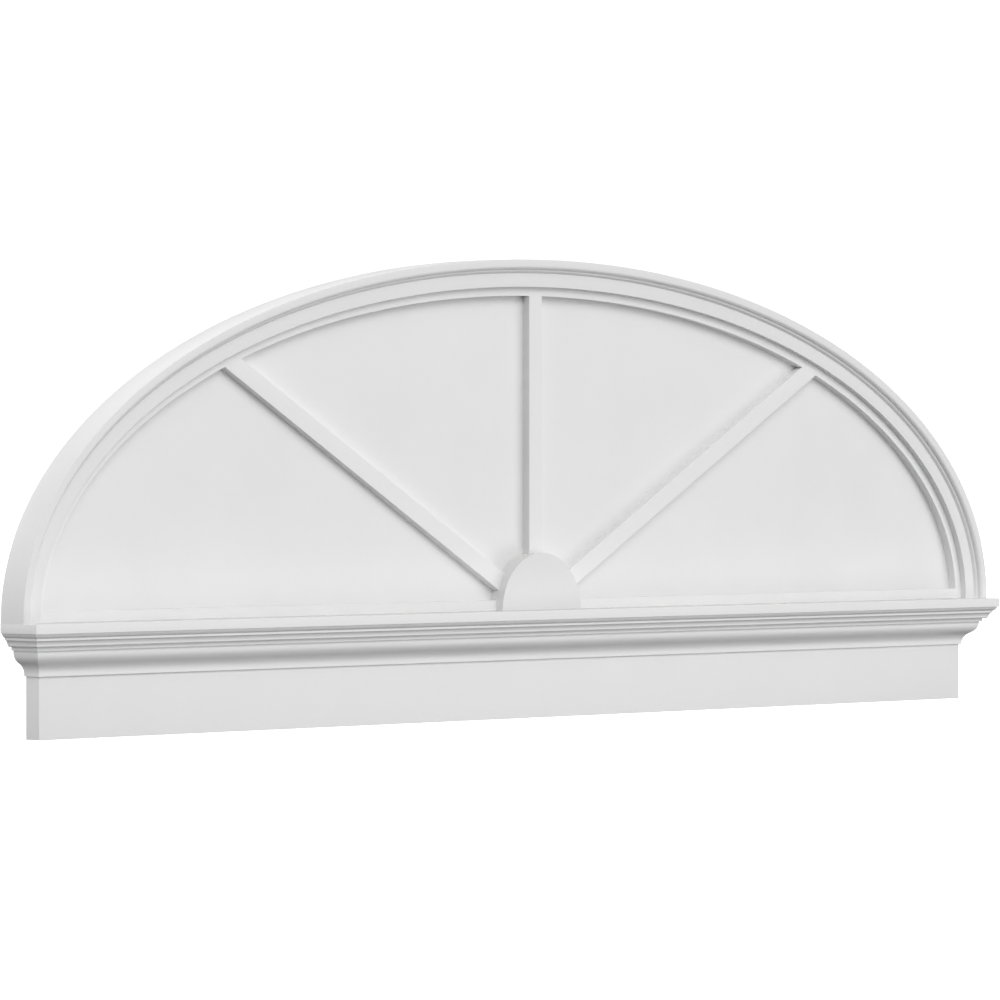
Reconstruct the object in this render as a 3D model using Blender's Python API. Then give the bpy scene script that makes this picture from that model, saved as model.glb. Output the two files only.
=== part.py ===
"""Arched combination pediment in white cellular PVC, to be fixed to a wall over a door or window.

A crosshead (a flat fascia board under a mitred crown moulding with two returns) carries a half-elliptical arch
moulding. Inside the arch stands a recessed tympanum board with a sunburst frame cut from one board (rim, bottom rail
and three spokes), and a half-round hub block where the spokes meet.

Metres, +Z up. X runs along the width, the wall is the plane Y = 0 and the front faces -Y. The origin is the middle of
the fascia board's back face.
"""

import math

import bmesh
import bpy
from mathutils import Vector

# ---------------------------------------------------------------- driving dimensions (metres)
WIDTH = 1.9558  # across the crown's returns, and across the arch
PROJECTION = 0.0694  # wall to the crown's front edge
CROSSHEAD_HEIGHT = 0.1517  # bottom of the fascia board to the top of the crown
FASCIA_THICKNESS = 0.0254
CROWN_PROJECTION = PROJECTION - FASCIA_THICKNESS  # the same on the front and on the returns
FASCIA_WIDTH = WIDTH - 2 * CROWN_PROJECTION

ARCH_DEPTH = 0.04445  # wall to the arch moulding's front fillet
ARCH_STILT = 0.0027  # short upright length below the half ellipse
ARCH_RISE = 0.4891  # half ellipse, springing to crown, at the outer edge
ARCH_POWER = 2.0145  # 2 is a true ellipse, a little more is fuller at the haunches
ARCH_HALF_SPAN = WIDTH / 2
BAND_DEPTH = 0.0347  # wall to the arch moulding's flat band
ARCH_FACE = 0.0383  # width of the arch moulding seen from the front

PANEL_THICKNESS = 0.0127
FRAME_FRONT = 0.0254  # wall to the front of the sunburst frame
RIM_WIDTH = 0.0125
RAIL_HEIGHT = 0.0147
SPOKE_WIDTH = 0.0254
SPOKE_TILT = 30.13  # the side spokes' angle from the horizontal, in degrees; the third stands upright
FAN_LIFT = 0.0003  # centre of the spokes and the hub above the crown's top
HUB_RADIUS = 0.0797
HUB_FRONT = 0.0381  # wall to the hub block's front

JOINT = 0.0003  # glue line between touching pieces
ARCH_STEPS = 72  # straight lengths along the half ellipse, an even number
HUB_STEPS = 48

CAP_TOP = CROSSHEAD_HEIGHT / 2  # height of the crown's top above the origin


# ---------------------------------------------------------------- scene and materials
def clear_scene():
    for obj in list(bpy.data.objects):
        bpy.data.objects.remove(obj, do_unlink=True)


def make_collection(name):
    collection = bpy.data.collections.new(name)
    bpy.context.scene.collection.children.link(collection)
    return collection


def make_material(name, colour, roughness):
    material = bpy.data.materials.new(name)
    material.use_nodes = True
    shader = material.node_tree.nodes["Principled BSDF"]
    shader.inputs["Base Color"].default_value = (*colour, 1.0)
    shader.inputs["Roughness"].default_value = roughness
    shader.inputs["Metallic"].default_value = 0.0
    return material


def finish_mesh(name, bm, collection, material, smooth_below=None):
    bmesh.ops.recalc_face_normals(bm, faces=bm.faces)
    mesh = bpy.data.meshes.new(name)
    bm.to_mesh(mesh)
    bm.free()
    if smooth_below is not None:
        mesh.shade_smooth()
        mesh.set_sharp_from_angle(angle=math.radians(smooth_below))
    mesh.materials.append(material)
    obj = bpy.data.objects.new(name, mesh)
    collection.objects.link(obj)
    return obj


# ---------------------------------------------------------------- profiles
def arc(start, end, turn, steps):
    """Points after start up to end, on the arc between them that turns by this many degrees, positive to the left."""
    p, q = Vector(start), Vector(end)
    chord = q - p
    half = math.radians(turn) / 2
    radius = chord.length / (2 * math.sin(half))
    normal = Vector((-chord.y, chord.x)).normalized()
    centre = (p + q) / 2 + normal * radius * math.cos(half)
    spoke = p - centre
    points = []
    for i in range(1, steps + 1):
        a = math.radians(turn) * i / steps
        points.append(
            (
                centre.x + spoke.x * math.cos(a) - spoke.y * math.sin(a),
                centre.y + spoke.x * math.sin(a) + spoke.y * math.cos(a),
            )
        )
    return points


def crown_profile():
    """The crown moulding's section as (projection from the fascia, height below the crown's top)."""
    mm = 0.001
    points = [(JOINT, 0.0), (CROWN_PROJECTION, 0.0), (CROWN_PROJECTION, 12.8 * mm)]
    # bead: a shallow convex arc under the cap
    points.append((41.5 * mm, 12.9 * mm))
    points += arc(points[-1], (37.0 * mm, 18.5 * mm), 60, 5)
    # fillet, then a small cove with a rounded foot
    points.append((36.6 * mm, 18.7 * mm))
    points.append((36.6 * mm, 21.8 * mm))
    points.append((34.9 * mm, 22.0 * mm))
    points += arc(points[-1], (31.6 * mm, 28.6 * mm), -34, 4)
    points += arc(points[-1], (29.7 * mm, 30.3 * mm), 60, 3)
    # fillet
    points.append((25.3 * mm, 30.5 * mm))
    points.append((25.3 * mm, 35.2 * mm))
    # ogee: two equal arcs with upright ends, the upper one convex
    top, bottom = Vector((21.9 * mm, 36.6 * mm)), Vector((3.1 * mm, 67.6 * mm))
    turn = 2 * math.degrees(math.atan((top.x - bottom.x) / (bottom.y - top.y)))
    points.append((top.x, 35.4 * mm))
    points.append(tuple(top))
    middle = (top + bottom) / 2
    points += arc(tuple(top), tuple(middle), turn, 6)
    points += arc(tuple(middle), tuple(bottom), -turn, 6)
    # bottom fillet
    points.append((3.1 * mm, 69.4 * mm))
    points.append((JOINT, 69.4 * mm))
    return points


def arch_profile():
    """The arch moulding's section as (distance in from the outer edge, distance from the wall)."""
    mm = 0.001
    points = [(0.0, 0.0), (0.0, ARCH_DEPTH), (8.7 * mm, ARCH_DEPTH)]
    # ovolo down to a narrow fillet that falls a little, a small chamfered step, then the flat band
    points += arc(points[-1], (14.2 * mm, 38.8 * mm), -80, 5)
    points.append((16.4 * mm, 38.0 * mm))
    points.append((19.1 * mm, BAND_DEPTH))
    points.append((ARCH_FACE, BAND_DEPTH))
    points.append((ARCH_FACE, 0.0))
    return points


# ---------------------------------------------------------------- the arch's curve
def arch_point(angle, inset):
    """The point on the arch at this ellipse angle in radians, this far in from the outer edge, as (x, height above the
    crown's top)."""
    c, s = math.cos(angle), math.sin(angle)
    u = math.copysign(abs(c) ** (2 / ARCH_POWER), c)
    v = abs(s) ** (2 / ARCH_POWER)
    x, z = ARCH_HALF_SPAN * u, ARCH_RISE * v
    nx = math.copysign(abs(u) ** (ARCH_POWER - 1) / ARCH_HALF_SPAN, c)
    nz = v ** (ARCH_POWER - 1) / ARCH_RISE
    length = math.hypot(nx, nz)
    return x - inset * nx / length, ARCH_STILT + z - inset * nz / length


def arch_line(inset, foot, first=0.0, last=math.pi, ends=(True, True)):
    """Points along the arch from right to left at this inset, with an upright length down to foot at either end."""
    angles = [math.pi * i / ARCH_STEPS for i in range(ARCH_STEPS + 1)]
    kept = [a for a in angles if first + 1e-4 < a < last - 1e-4]
    points = [arch_point(a, inset) for a in [first, *kept, last]]
    if ends[0]:
        points.insert(0, (ARCH_HALF_SPAN - inset, foot))
    if ends[1]:
        points.append((-(ARCH_HALF_SPAN - inset), foot))
    return points


def angle_where(inset, outside):
    """The ellipse angle at which the line at this inset crosses from outside to not outside, found by halving."""
    low, high = 0.0, math.pi / 2
    for _ in range(60):
        middle = (low + high) / 2
        if outside(*arch_point(middle, inset)):
            low = middle
        else:
            high = middle
    return (low + high) / 2


# ---------------------------------------------------------------- solids
def board(name, size, centre, collection, material):
    bm = bmesh.new()
    bmesh.ops.create_cube(bm, size=1.0)
    bmesh.ops.scale(bm, vec=size, verts=bm.verts)
    bmesh.ops.translate(bm, vec=centre, verts=bm.verts)
    return finish_mesh(name, bm, collection, material)


def moulding(name, profile, stations, collection, material, smooth_below=30.0):
    """A profile face extruded from one station to the next. A station turns a profile point into a place."""
    bm = bmesh.new()
    index = bm.verts.layers.int.new("profile")
    verts = []
    for i, point in enumerate(profile):
        vert = bm.verts.new(stations[0](*point))
        vert[index] = i
        verts.append(vert)
    first = face = bm.faces.new(verts)
    for station in stations[1:]:
        made = bmesh.ops.extrude_face_region(bm, geom=[face])["geom"]
        if face is not first:
            bmesh.ops.delete(bm, geom=[face], context="FACES_ONLY")
        for vert in (g for g in made if isinstance(g, bmesh.types.BMVert)):
            vert.co = station(*profile[vert[index]])
        face = next(g for g in made if isinstance(g, bmesh.types.BMFace))
    bm.verts.layers.int.remove(index)
    return finish_mesh(name, bm, collection, material, smooth_below)


def plate(name, outline, back, front, collection, material):
    """A flat piece: a closed outline in X and Z, between two distances from the wall."""
    curve = bpy.data.curves.new(name, "CURVE")
    curve.dimensions = "2D"
    curve.fill_mode = "BOTH"
    curve.extrude = (front - back) / 2
    spline = curve.splines.new("POLY")
    spline.points.add(len(outline) - 1)
    for point, (x, z) in zip(spline.points, outline):
        point.co = (x, z, 0.0, 1.0)
    spline.use_cyclic_u = True
    curve.materials.append(material)
    obj = bpy.data.objects.new(name, curve)
    obj.location = (0.0, -(front + back) / 2, CAP_TOP)
    obj.rotation_euler = (math.pi / 2, 0.0, 0.0)
    collection.objects.link(obj)
    return obj


def crown_pieces(collection, material):
    profile = crown_profile()
    half = FASCIA_WIDTH / 2
    mitre = JOINT / 2 * math.sqrt(2)

    def front_end(side):
        return lambda p, drop: Vector(
            (side * (half + p - mitre / 2), -FASCIA_THICKNESS - p, CAP_TOP - drop)
        )

    moulding(
        "crown_front", profile, [front_end(-1), front_end(1)], collection, material
    )
    for name, side in (("crown_return_left", -1), ("crown_return_right", 1)):

        def wall_end(p, drop, side=side):
            return Vector((side * (half + p), 0.0, CAP_TOP - drop))

        def mitre_end(p, drop, side=side):
            return Vector(
                (
                    side * (half + p),
                    -FASCIA_THICKNESS - p + mitre / 2,
                    CAP_TOP - drop,
                )
            )

        moulding(name, profile, [wall_end, mitre_end], collection, material)


def arch_piece(collection, material):
    profile = arch_profile()

    def at_foot(side):
        return lambda inset, depth: Vector(
            (side * (ARCH_HALF_SPAN - inset), -depth, CAP_TOP + JOINT)
        )

    def at_angle(angle):
        def place(inset, depth):
            x, z = arch_point(angle, inset)
            return Vector((x, -depth, CAP_TOP + z))

        return place

    stations = [at_foot(1)]
    stations += [at_angle(math.pi * i / ARCH_STEPS) for i in range(ARCH_STEPS + 1)]
    stations.append(at_foot(-1))
    moulding("arch_moulding", profile, stations, collection, material, 20.0)


def frame_outline():
    """The sunburst frame: round the outside, then back along the rails, the rim's inner edge and the three spokes."""
    outer = ARCH_FACE + JOINT
    inner = ARCH_FACE + RIM_WIDTH
    hub = HUB_RADIUS + JOINT
    half = SPOKE_WIDTH / 2
    base = JOINT
    centre = Vector((0.0, FAN_LIFT))
    reach = math.asin(half / hub)  # half of a spoke's end, as an angle about the hub's centre

    def round_hub(start, end, steps=4):
        """An end cut to the hub's curve, between these angles."""
        angles = [start + (end - start) * i / steps for i in range(steps + 1)]
        return [(hub * math.cos(a), FAN_LIFT + hub * math.sin(a)) for a in angles]

    # right half, from the rail's lower end at the hub to the centre spoke
    right = round_hub(
        math.asin((base - FAN_LIFT) / hub), math.asin((RAIL_HEIGHT - FAN_LIFT) / hub)
    )
    first = angle_where(inner, lambda x, z: z < RAIL_HEIGHT)
    tilt = math.radians(SPOKE_TILT)
    across = Vector((-math.sin(tilt), math.cos(tilt)))
    lower = angle_where(
        inner, lambda x, z: (Vector((x, z)) - centre).dot(across) < -half
    )
    upper = angle_where(
        inner, lambda x, z: (Vector((x, z)) - centre).dot(across) < half
    )
    right += arch_line(inner, base, first, lower, (False, False))
    right += round_hub(tilt - reach, tilt + reach)
    top = angle_where(inner, lambda x, z: x > half)
    right += arch_line(inner, base, upper, top, (False, False))
    right += round_hub(math.pi / 2 - reach, math.pi / 2, 2)
    left = [(-x, z) for x, z in reversed(right[:-1])]
    outside = arch_line(outer, base)
    return right + left + list(reversed(outside))


def build():
    clear_scene()
    parts = make_collection("arched_pediment")
    white = (0.84, 0.84, 0.835)
    fascia = make_material("fascia_pvc", white, 0.42)
    crown = make_material("crown_pvc", white, 0.38)
    arch = make_material("arch_pvc", white, 0.38)
    frame = make_material("sunburst_pvc", white, 0.42)
    hub = make_material("hub_pvc", white, 0.42)
    panel = make_material("tympanum_pvc", white, 0.45)

    board(
        "fascia_board",
        (FASCIA_WIDTH, FASCIA_THICKNESS, CROSSHEAD_HEIGHT),
        (0.0, -FASCIA_THICKNESS / 2, 0.0),
        parts,
        fascia,
    )
    crown_pieces(parts, crown)
    arch_piece(parts, arch)
    plate(
        "tympanum_panel",
        arch_line(ARCH_FACE + JOINT, JOINT),
        0.0,
        PANEL_THICKNESS,
        parts,
        panel,
    )
    plate(
        "sunburst_frame",
        frame_outline(),
        PANEL_THICKNESS + JOINT,
        FRAME_FRONT,
        parts,
        frame,
    )

    # half-round hub block: a cylinder across the wall, cut flat where it stands on the crown
    bm = bmesh.new()
    bmesh.ops.create_cone(
        bm,
        cap_ends=True,
        segments=2 * HUB_STEPS,
        radius1=HUB_RADIUS,
        radius2=HUB_RADIUS,
        depth=HUB_FRONT - PANEL_THICKNESS - JOINT,
    )
    for vert in bm.verts:
        x, y, z = vert.co
        vert.co = (
            x,
            -(HUB_FRONT + PANEL_THICKNESS + JOINT) / 2 + z,
            CAP_TOP + FAN_LIFT - y,
        )
    cut = bmesh.ops.bisect_plane(
        bm,
        geom=bm.verts[:] + bm.edges[:] + bm.faces[:],
        plane_co=(0.0, 0.0, CAP_TOP + JOINT),
        plane_no=(0.0, 0.0, -1.0),
        clear_outer=True,
    )["geom_cut"]
    bmesh.ops.edgenet_fill(
        bm, edges=[g for g in cut if isinstance(g, bmesh.types.BMEdge)]
    )
    finish_mesh("hub_block", bm, parts, hub, 30.0)


build()
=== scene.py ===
import math

import bmesh
import bpy
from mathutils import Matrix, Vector


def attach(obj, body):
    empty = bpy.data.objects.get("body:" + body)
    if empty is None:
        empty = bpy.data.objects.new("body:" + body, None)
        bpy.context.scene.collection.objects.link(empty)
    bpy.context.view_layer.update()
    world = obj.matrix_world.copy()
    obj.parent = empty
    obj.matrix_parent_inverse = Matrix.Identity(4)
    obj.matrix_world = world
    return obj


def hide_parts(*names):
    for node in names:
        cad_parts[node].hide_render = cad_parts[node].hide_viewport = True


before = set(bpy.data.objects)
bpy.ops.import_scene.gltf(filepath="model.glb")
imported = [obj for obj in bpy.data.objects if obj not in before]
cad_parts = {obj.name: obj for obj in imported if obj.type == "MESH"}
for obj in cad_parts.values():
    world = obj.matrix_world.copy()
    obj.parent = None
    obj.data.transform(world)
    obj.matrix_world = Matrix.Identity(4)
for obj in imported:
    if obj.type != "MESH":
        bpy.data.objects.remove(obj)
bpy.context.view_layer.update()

# ------------------------------------------------------------------ sizes, as in the solids (metres)
MM = 0.001
WIDTH = 1.9558
PROJECTION = 0.0694
CROSSHEAD_HEIGHT = 0.1517
FASCIA_THICKNESS = 0.0254
CROWN_PROJECTION = PROJECTION - FASCIA_THICKNESS
FASCIA_WIDTH = WIDTH - 2 * CROWN_PROJECTION
ARCH_DEPTH = 0.04445
ARCH_STILT = 0.0027
ARCH_RISE = 0.4891
ARCH_POWER = 2.0145
HALF_SPAN = WIDTH / 2
BAND_DEPTH = 0.0347
ARCH_FACE = 0.0383
PANEL_THICKNESS = 0.0127
FRAME_FRONT = 0.0254
RIM_WIDTH = 0.0125
RAIL_HEIGHT = 0.0147
SPOKE_WIDTH = 0.0254
SPOKE_TILT = 30.13
FAN_LIFT = 0.0003
HUB_RADIUS = 0.0797
HUB_FRONT = 0.0381
LAP = 0.0002  # the glued faces lap by this much, so that no light shows through a joint
CAP_TOP = CROSSHEAD_HEIGHT / 2

ARCH_STEPS = 360  # straight lengths along the half ellipse
EDGE = 0.00045  # radius of an eased arris
SHARP = 0.00025  # radius of a crisp one


# ------------------------------------------------------------------ outlines
def turn_arc(start, end, turn, steps):
    """Points after start up to end on the arc between them that turns by this many degrees, positive to the left."""
    p, q = Vector(start), Vector(end)
    chord = q - p
    half = math.radians(turn) / 2
    radius = chord.length / (2 * math.sin(half))
    normal = Vector((-chord.y, chord.x)).normalized()
    centre = (p + q) / 2 + normal * radius * math.cos(half)
    spoke = p - centre
    out = []
    for i in range(1, steps + 1):
        a = math.radians(turn) * i / steps
        out.append(
            (
                centre.x + spoke.x * math.cos(a) - spoke.y * math.sin(a),
                centre.y + spoke.x * math.sin(a) + spoke.y * math.cos(a),
            )
        )
    return out


def eased(points, radii, steps=3):
    """A closed outline with each corner of a radius above 0 rounded to it. It stays inside the outline at outer corners."""
    out = []
    n = len(points)
    for i, (point, radius) in enumerate(zip(points, radii)):
        here = Vector(point)
        before, after = Vector(points[i - 1]) - here, Vector(points[(i + 1) % n]) - here
        if radius <= 0 or before.length < 1e-9 or after.length < 1e-9:
            out.append(tuple(here))
            continue
        u, v = before.normalized(), after.normalized()
        angle = u.angle(v)
        if angle > math.radians(165):
            out.append(tuple(here))
            continue
        cut = radius / math.tan(angle / 2)
        cut = min(cut, 0.42 * before.length, 0.42 * after.length)
        radius = cut * math.tan(angle / 2)
        centre = here + (u + v).normalized() * (radius / math.sin(angle / 2))
        a, b = here + u * cut - centre, here + v * cut - centre
        sweep = a.angle(b)
        sign = 1 if a.x * b.y - a.y * b.x > 0 else -1
        for k in range(steps + 1):
            t = sign * sweep * k / steps
            out.append(
                (
                    centre.x + a.x * math.cos(t) - a.y * math.sin(t),
                    centre.y + a.x * math.sin(t) + a.y * math.cos(t),
                )
            )
    return out


def crown_outline(fine=10):
    """The crown's section as (projection from the fascia, drop below its top)."""
    pts, rad = [], []

    def add(p, r=0.0):
        pts.append(p)
        rad.append(r)

    add((-LAP, 0.0))
    add((CROWN_PROJECTION, 0.0), EDGE)
    add((CROWN_PROJECTION, 12.8 * MM), SHARP)
    add((41.5 * MM, 12.9 * MM))
    for p in turn_arc((41.5 * MM, 12.9 * MM), (37.0 * MM, 18.5 * MM), 60, fine):
        add(p)
    add((36.6 * MM, 18.7 * MM))
    add((36.6 * MM, 21.8 * MM), SHARP)
    add((34.9 * MM, 22.0 * MM))
    for p in turn_arc((34.9 * MM, 22.0 * MM), (31.6 * MM, 28.6 * MM), -34, fine):
        add(p)
    for p in turn_arc((31.6 * MM, 28.6 * MM), (29.7 * MM, 30.3 * MM), 60, fine):
        add(p)
    add((25.3 * MM, 30.5 * MM))
    add((25.3 * MM, 35.2 * MM), SHARP)
    top, bottom = Vector((21.9 * MM, 36.6 * MM)), Vector((3.1 * MM, 67.6 * MM))
    turn = 2 * math.degrees(math.atan((top.x - bottom.x) / (bottom.y - top.y)))
    middle = (top + bottom) / 2
    add((top.x, 35.4 * MM))
    add(tuple(top))
    for p in turn_arc(top, middle, turn, fine):
        add(p)
    for p in turn_arc(middle, bottom, -turn, fine):
        add(p)
    add((3.1 * MM, 69.4 * MM), SHARP)
    add((-LAP, 69.4 * MM))
    return eased(pts, rad)


def arch_outline(fine=10):
    """The arch moulding's section as (distance in from the outer edge, distance from the wall)."""
    pts, rad = [], []

    def add(p, r=0.0):
        pts.append(p)
        rad.append(r)

    add((0.0, 0.0), EDGE)
    add((0.0, ARCH_DEPTH), EDGE)
    add((8.7 * MM, ARCH_DEPTH), SHARP)
    for p in turn_arc((8.7 * MM, ARCH_DEPTH), (14.2 * MM, 38.8 * MM), -80, fine):
        add(p)
    add((16.4 * MM, 38.0 * MM), SHARP)
    add((19.1 * MM, BAND_DEPTH))
    add((ARCH_FACE, BAND_DEPTH), EDGE)
    add((ARCH_FACE, 0.0), EDGE)
    return eased(pts, rad)


# ------------------------------------------------------------------ the arch's curve
def arch_point(angle, inset):
    """The point at this angle and inset on a half ellipse a little fuller at the haunches than a true one."""
    c, s = math.cos(angle), math.sin(angle)
    u = math.copysign(abs(c) ** (2 / ARCH_POWER), c)
    v = abs(s) ** (2 / ARCH_POWER)
    x, z = HALF_SPAN * u, ARCH_RISE * v
    nx = math.copysign(abs(u) ** (ARCH_POWER - 1) / HALF_SPAN, c)
    nz = v ** (ARCH_POWER - 1) / ARCH_RISE
    length = math.hypot(nx, nz)
    return x - inset * nx / length, ARCH_STILT + z - inset * nz / length


def arch_line(inset, foot, first=0.0, last=math.pi, ends=(True, True), steps=ARCH_STEPS):
    angles = [math.pi * i / steps for i in range(steps + 1)]
    kept = [a for a in angles if first + 1e-3 < a < last - 1e-3]
    out = [arch_point(a, inset) for a in [first, *kept, last]]
    if ends[0]:
        out.insert(0, (HALF_SPAN - inset, foot))
    if ends[1]:
        out.append((-(HALF_SPAN - inset), foot))
    return out


def angle_where(inset, outside):
    low, high = 0.0, math.pi / 2
    for _ in range(60):
        middle = (low + high) / 2
        if outside(*arch_point(middle, inset)):
            low = middle
        else:
            high = middle
    return (low + high) / 2


def frame_line():
    """The sunburst frame's outline."""
    outer, inner = ARCH_FACE - LAP, ARCH_FACE + RIM_WIDTH
    hub, half, base = HUB_RADIUS - LAP, SPOKE_WIDTH / 2, 0.0
    centre = Vector((0.0, FAN_LIFT))
    reach = math.asin(half / hub)

    def round_hub(start, end, steps=12):
        angles = [start + (end - start) * i / steps for i in range(steps + 1)]
        return [(hub * math.cos(a), FAN_LIFT + hub * math.sin(a)) for a in angles]

    right = round_hub(math.asin((base - FAN_LIFT) / hub), math.asin((RAIL_HEIGHT - FAN_LIFT) / hub))
    first = angle_where(inner, lambda x, z: z < RAIL_HEIGHT)
    tilt = math.radians(SPOKE_TILT)
    across = Vector((-math.sin(tilt), math.cos(tilt)))
    lower = angle_where(inner, lambda x, z: (Vector((x, z)) - centre).dot(across) < -half)
    upper = angle_where(inner, lambda x, z: (Vector((x, z)) - centre).dot(across) < half)
    right += arch_line(inner, base, first, lower, (False, False))
    right += round_hub(tilt - reach, tilt + reach)
    top = angle_where(inner, lambda x, z: x > half)
    right += arch_line(inner, base, upper, top, (False, False))
    right += round_hub(math.pi / 2 - reach, math.pi / 2, 6)
    left = [(-x, z) for x, z in reversed(right[:-1])]
    return right + left + list(reversed(arch_line(outer, base)))


# ------------------------------------------------------------------ meshes
def finish_mesh(name, bm, material, sharp_over=24.0):
    bmesh.ops.recalc_face_normals(bm, faces=bm.faces)
    mesh = bpy.data.meshes.new(name)
    bm.to_mesh(mesh)
    bm.free()
    mesh.shade_smooth()
    mesh.set_sharp_from_angle(angle=math.radians(sharp_over))
    mesh.materials.append(material)
    obj = bpy.data.objects.new(name, mesh)
    bpy.context.scene.collection.objects.link(obj)
    return obj


def sweep(name, outline, stations, material, sharp_over=24.0, caps_material=None):
    """Rings of one outline joined from station to station, with flat ends."""
    bm = bmesh.new()
    rings = [[bm.verts.new(place(*p)) for p in outline] for place in stations]
    n = len(outline)
    for a, b in zip(rings, rings[1:]):
        for i in range(n):
            bm.faces.new((a[i], a[(i + 1) % n], b[(i + 1) % n], b[i]))
    ends = [bm.faces.new(rings[0]), bm.faces.new(list(reversed(rings[-1])))]
    if caps_material is not None:
        for f in ends:
            f.material_index = 1
    obj = finish_mesh(name, bm, material, sharp_over)
    if caps_material is not None:
        obj.data.materials.append(caps_material)
    return obj


def plate(name, outline, back, front, material, ease=EDGE, ease_back=False):
    """A flat cut piece with its front arris eased."""
    bm = bmesh.new()
    verts = [bm.verts.new((x, -back, CAP_TOP + z)) for x, z in outline]
    face = bm.faces.new(verts)
    made = bmesh.ops.extrude_face_region(bm, geom=[face])["geom"]
    for v in (g for g in made if isinstance(g, bmesh.types.BMVert)):
        v.co.y = -front
    bm.normal_update()
    front_face = next(g for g in made if isinstance(g, bmesh.types.BMFace))
    bmesh.ops.recalc_face_normals(bm, faces=bm.faces)
    bmesh.ops.bevel(
        bm,
        geom=list(front_face.edges) + list(front_face.verts),
        offset=ease,
        offset_type="OFFSET",
        segments=3,
        profile=0.5,
        affect="EDGES",
        clamp_overlap=True,
    )
    return finish_mesh(name, bm, material, 30.0)


def made(piece, slot_name, *nodes):
    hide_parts(*nodes)
    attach(piece, "root")
    return piece


# ------------------------------------------------------------------ white PVC
class Nodes:
    def __init__(self, name):
        self.material = bpy.data.materials.new(name)
        self.material.use_nodes = True
        self.tree = self.material.node_tree
        self.shader = self.tree.nodes["Principled BSDF"]

    def add(self, kind, **values):
        node = self.tree.nodes.new(kind)
        for key, value in values.items():
            setattr(node, key, value)
        return node

    def link(self, a, b):
        self.tree.links.new(a, b)


def pvc(name, base=0.83, roughness=0.40, tone=0.012, streak=0.0, streak_axis=2, pores=0.0, bump=0.05):
    """White cellular PVC: an even sheet skin with faint clouding, a fine orange-peel grain and, where it was cut or
    routed, fine tool lines or open pores."""
    m = Nodes(name)
    coords = m.add("ShaderNodeTexCoord")
    # faint clouding of the sheet, a few centimetres across
    cloud = m.add("ShaderNodeTexNoise")
    cloud.inputs["Scale"].default_value = 9.0
    cloud.inputs["Detail"].default_value = 4.0
    cloud.inputs["Roughness"].default_value = 0.55
    m.link(coords.outputs["Object"], cloud.inputs["Vector"])
    # a finer mottle, some millimetres across
    mottle = m.add("ShaderNodeTexNoise")
    mottle.inputs["Scale"].default_value = 160.0
    mottle.inputs["Detail"].default_value = 3.0
    m.link(coords.outputs["Object"], mottle.inputs["Vector"])
    both = m.add("ShaderNodeMath", operation="MULTIPLY_ADD")
    both.inputs[1].default_value = 0.35
    m.link(mottle.outputs["Fac"], both.inputs[0])
    m.link(cloud.outputs["Fac"], both.inputs[2])
    ramp = m.add("ShaderNodeValToRGB")
    low, high = base * (1 - tone), base * (1 + tone)
    ramp.color_ramp.elements[0].position = 0.45
    ramp.color_ramp.elements[0].color = (low, low, low * 0.998, 1)
    ramp.color_ramp.elements[1].position = 0.95
    ramp.color_ramp.elements[1].color = (high, high, high, 1)
    m.link(both.outputs[0], ramp.inputs["Fac"])
    m.link(ramp.outputs["Color"], m.shader.inputs["Base Color"])
    # sheen of the skin varies a little with the mottle
    rough = m.add("ShaderNodeMapRange")
    rough.inputs["From Min"].default_value = 0.3
    rough.inputs["From Max"].default_value = 0.7
    rough.inputs["To Min"].default_value = roughness - 0.05
    rough.inputs["To Max"].default_value = roughness + 0.06
    m.link(cloud.outputs["Fac"], rough.inputs["Value"])
    m.link(rough.outputs["Result"], m.shader.inputs["Roughness"])
    # orange peel of the skin: cells about a millimetre across
    grain = m.add("ShaderNodeTexNoise")
    grain.inputs["Scale"].default_value = 900.0
    grain.inputs["Detail"].default_value = 2.0
    m.link(coords.outputs["Object"], grain.inputs["Vector"])
    height = grain.outputs["Fac"]
    if streak > 0:
        # tool lines along the length of a routed face
        stretch = m.add("ShaderNodeMapping")
        scale = [700.0, 700.0, 700.0]
        scale[streak_axis] = 6.0
        stretch.inputs["Scale"].default_value = scale
        m.link(coords.outputs["Object"], stretch.inputs["Vector"])
        lines = m.add("ShaderNodeTexNoise")
        lines.inputs["Scale"].default_value = 1.0
        lines.inputs["Detail"].default_value = 2.0
        m.link(stretch.outputs["Vector"], lines.inputs["Vector"])
        mix = m.add("ShaderNodeMath", operation="MULTIPLY_ADD")
        mix.inputs[1].default_value = streak
        m.link(lines.outputs["Fac"], mix.inputs[0])
        m.link(height, mix.inputs[2])
        height = mix.outputs[0]
    if pores > 0:
        # the open cells of a cut face
        cells = m.add("ShaderNodeTexVoronoi")
        cells.inputs["Scale"].default_value = 2600.0
        m.link(coords.outputs["Object"], cells.inputs["Vector"])
        mix = m.add("ShaderNodeMath", operation="MULTIPLY_ADD")
        mix.inputs[1].default_value = pores
        m.link(cells.outputs["Distance"], mix.inputs[0])
        m.link(height, mix.inputs[2])
        height = mix.outputs[0]
    relief = m.add("ShaderNodeBump")
    relief.inputs["Strength"].default_value = 1.0
    relief.inputs["Distance"].default_value = bump * MM
    m.link(height, relief.inputs["Height"])
    m.link(relief.outputs["Normal"], m.shader.inputs["Normal"])
    m.shader.inputs["IOR"].default_value = 1.53
    m.shader.inputs["Specular IOR Level"].default_value = 0.35
    return m.material


# All pieces are the same white PVC. The base colours differ from piece to piece: the fascia and the sunburst frame
# carry painted light (a lighter base) and the hub carries painted shade (a darker base), so that these faces read
# lighter or darker than the lamps make them.
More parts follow.
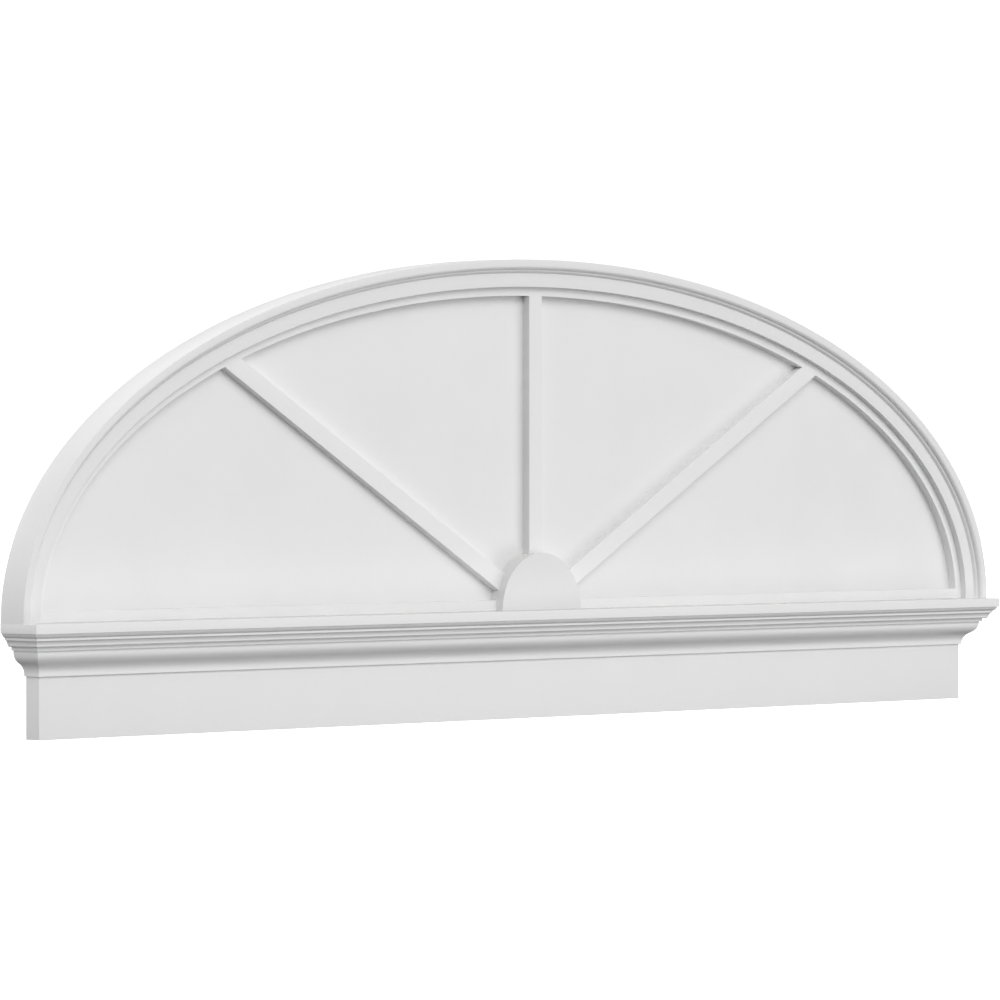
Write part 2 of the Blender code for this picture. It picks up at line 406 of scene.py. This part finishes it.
sheet_white = pvc("pvc_sheet_skin", base=0.83, roughness=0.44)
fascia_white_with_painted_light = pvc("pvc_fascia", base=0.85, roughness=0.42)
crown_white = pvc("pvc_crown", base=0.855, roughness=0.38, streak=0.6, streak_axis=0)
return_white = pvc("pvc_crown_return", base=0.855, roughness=0.38, streak=0.6, streak_axis=1)
arch_white = pvc("pvc_arch", base=0.83, roughness=0.38, bump=0.04)
frame_white_with_painted_light = pvc("pvc_sunburst", base=0.865, roughness=0.42)
hub_white_with_painted_shade = pvc("pvc_hub", base=0.81, roughness=0.42)
cut_white = pvc("pvc_cut_end", roughness=0.62, pores=1.2, bump=0.12)


# ------------------------------------------------------------------ pieces
def box_piece(name, size, centre, material):
    bm = bmesh.new()
    bmesh.ops.create_cube(bm, size=1.0)
    bmesh.ops.scale(bm, vec=size, verts=bm.verts)
    bmesh.ops.translate(bm, vec=centre, verts=bm.verts)
    bmesh.ops.bevel(
        bm,
        geom=bm.edges[:],
        offset=EDGE,
        offset_type="OFFSET",
        segments=3,
        profile=0.5,
        affect="EDGES",
    )
    return finish_mesh(name, bm, material, 30.0)


made(
    box_piece(
        "fascia_board_white",
        (FASCIA_WIDTH, FASCIA_THICKNESS, CROSSHEAD_HEIGHT),
        (0.0, -FASCIA_THICKNESS / 2, 0.0),
        fascia_white_with_painted_light,
    ),
    "fascia",
    "fascia_board",
)

crown = crown_outline()
half_fascia = FASCIA_WIDTH / 2


def crown_front_end(side):
    return lambda p, drop: Vector(
        (side * (half_fascia + p), -FASCIA_THICKNESS - p, CAP_TOP - drop)
    )


made(
    sweep(
        "crown_front_white",
        crown,
        [crown_front_end(-1), crown_front_end(1)],
        crown_white,
        caps_material=cut_white,
    ),
    "crown",
    "crown_front",
)
for side, word in ((-1, "left"), (1, "right")):
    made(
        sweep(
            f"crown_return_{word}_white",
            crown,
            [
                lambda p, drop, s=side: Vector((s * (half_fascia + p), 0.0, CAP_TOP - drop)),
                lambda p, drop, s=side: Vector(
                    (s * (half_fascia + p), -FASCIA_THICKNESS - p, CAP_TOP - drop)
                ),
            ],
            return_white,
            caps_material=cut_white,
        ),
        "crown",
        f"crown_return_{word}",
    )

arch_stations = [
    lambda inset, depth: Vector((HALF_SPAN - inset, -depth, CAP_TOP))
]
for i in range(ARCH_STEPS + 1):

    def at_angle(inset, depth, angle=math.pi * i / ARCH_STEPS):
        x, z = arch_point(angle, inset)
        return Vector((x, -depth, CAP_TOP + z))

    arch_stations.append(at_angle)
arch_stations.append(
    lambda inset, depth: Vector((-(HALF_SPAN - inset), -depth, CAP_TOP))
)
made(
    sweep("arch_moulding_white", arch_outline(), arch_stations, arch_white, caps_material=cut_white),
    "arch",
    "arch_moulding",
)

made(
    plate(
        "tympanum_panel_white",
        arch_line(ARCH_FACE - LAP, 0.0),
        0.0,
        PANEL_THICKNESS,
        sheet_white,
        ease=SHARP,
    ),
    "tympanum",
    "tympanum_panel",
)
made(
    plate("sunburst_frame_white", frame_line(), PANEL_THICKNESS - LAP, FRAME_FRONT, frame_white_with_painted_light),
    "sunburst",
    "sunburst_frame",
)

hub_line = []
HUB_STEPS = 96
low = math.asin(-FAN_LIFT / HUB_RADIUS)
for i in range(HUB_STEPS + 1):
    a = low + (math.pi - 2 * low) * i / HUB_STEPS
    hub_line.append((HUB_RADIUS * math.cos(a), FAN_LIFT + HUB_RADIUS * math.sin(a)))
made(
    plate("hub_block_white", hub_line, PANEL_THICKNESS - LAP, HUB_FRONT, hub_white_with_painted_shade),
    "hub",
    "hub_block",
)

# ------------------------------------------------------------------ floor
floor_mesh = bpy.data.meshes.new("studio_floor")
bm = bmesh.new()
bmesh.ops.create_grid(bm, x_segments=1, y_segments=1, size=60.0)
bm.to_mesh(floor_mesh)
bm.free()
floor = bpy.data.objects.new("studio_floor", floor_mesh)
floor.location = (0.0, 0.0, -1.0)
bpy.context.scene.collection.objects.link(floor)
pale = bpy.data.materials.new("pale_floor")
pale.use_nodes = True
pale.node_tree.nodes["Principled BSDF"].inputs["Base Color"].default_value = (0.93, 0.93, 0.93, 1)
pale.node_tree.nodes["Principled BSDF"].inputs["Roughness"].default_value = 0.9
pale.node_tree.nodes["Principled BSDF"].inputs["Specular IOR Level"].default_value = 0.0
pale.node_tree.nodes["Principled BSDF"].inputs["Emission Color"].default_value = (1, 1, 1, 1)
pale.node_tree.nodes["Principled BSDF"].inputs["Emission Strength"].default_value = 0.5
floor_mesh.materials.append(pale)
floor.visible_diffuse = False
floor.visible_glossy = False
floor.visible_shadow = False

# ------------------------------------------------------------------ soft studio light
world = bpy.data.worlds.new("studio")
bpy.context.scene.world = world
world.use_nodes = True
tree = world.node_tree
tree.nodes.clear()
out = tree.nodes.new("ShaderNodeOutputWorld")
mix = tree.nodes.new("ShaderNodeMixShader")
path = tree.nodes.new("ShaderNodeLightPath")
soft = tree.nodes.new("ShaderNodeBackground")
plain = tree.nodes.new("ShaderNodeBackground")
plain.inputs["Color"].default_value = (1, 1, 1, 1)
plain.inputs["Strength"].default_value = 1.05
where = tree.nodes.new("ShaderNodeTexCoord")
# large soft lights round the object: each is a lobe of the dome about one direction, narrower at a higher power
LOBES = (
    ((0.729, -0.611, -0.309), 3.998, 60),
    ((-0.263, -0.809, 0.526), 3.306, 14),
    ((-0.724, 0.526, 0.447), 2.350, 14),
    ((0.162, 0.500, 0.851), 2.197, 14),
    ((0.423, -0.906, 0.000), 1.570, 60),
    ((0.263, -0.809, -0.526), 1.388, 14),
    ((0.729, -0.611, 0.309), 1.370, 60),
    ((-0.951, 0.309, 0.000), 1.320, 14),
    ((0.688, 0.500, 0.526), 1.291, 14),
    ((-0.688, 0.500, -0.526), 1.244, 14),
    ((-0.724, -0.526, 0.447), 0.802, 14),
    ((0.162, -0.500, 0.851), 0.772, 14),
    ((0.966, -0.259, 0.000), 0.763, 60),
    ((0.276, -0.851, 0.447), 0.666, 14),
    ((0.588, -0.809, 0.000), 0.442, 14),
    ((-0.162, -0.500, -0.851), 0.068, 14),
    ((0.000, 0.990, 0.140), 3.600, 30),
)
total = None
for direction, strength, power in LOBES:
    dot = tree.nodes.new("ShaderNodeVectorMath")
    dot.operation = "DOT_PRODUCT"
    dot.inputs[1].default_value = Vector(direction).normalized()
    tree.links.new(where.outputs["Generated"], dot.inputs[0])
    front = tree.nodes.new("ShaderNodeMath")
    front.operation = "MAXIMUM"
    front.inputs[1].default_value = 0.0
    tree.links.new(dot.outputs["Value"], front.inputs[0])
    lobe = tree.nodes.new("ShaderNodeMath")
    lobe.operation = "POWER"
    lobe.inputs[1].default_value = power
    tree.links.new(front.outputs[0], lobe.inputs[0])
    scaled = tree.nodes.new("ShaderNodeMath")
    scaled.operation = "MULTIPLY"
    scaled.inputs[1].default_value = strength
    tree.links.new(lobe.outputs[0], scaled.inputs[0])
    if total is not None:
        both = tree.nodes.new("ShaderNodeMath")
        both.operation = "ADD"
        tree.links.new(total, both.inputs[0])
        tree.links.new(scaled.outputs[0], both.inputs[1])
        total = both.outputs[0]
    else:
        total = scaled.outputs[0]
soft.inputs["Color"].default_value = (1, 1, 1, 1)
tree.links.new(total, soft.inputs["Strength"])
tree.links.new(path.outputs["Is Camera Ray"], mix.inputs["Fac"])
tree.links.new(soft.outputs[0], mix.inputs[1])
tree.links.new(plain.outputs[0], mix.inputs[2])
tree.links.new(mix.outputs[0], out.inputs["Surface"])

# ------------------------------------------------------------------ camera
camera_data = bpy.data.cameras.new("camera")
camera_data.sensor_width = 36.0
camera_data.lens = 215.96
camera_data.clip_start = 0.1
camera_data.clip_end = 200.0
camera = bpy.data.objects.new("camera", camera_data)
bpy.context.scene.collection.objects.link(camera)
camera.location = (-6.12229, -5.83153, 0.21948 + CAP_TOP)
camera.rotation_euler = (math.radians(90.0), 0.0, -math.radians(46.17884))
camera_data.shift_y = -0.046307
bpy.context.scene.camera = camera

scene = bpy.context.scene
scene.view_settings.view_transform = "Standard"
scene.view_settings.look = "None"
scene.view_settings.exposure = 0.1
scene.view_settings.gamma = 0.82
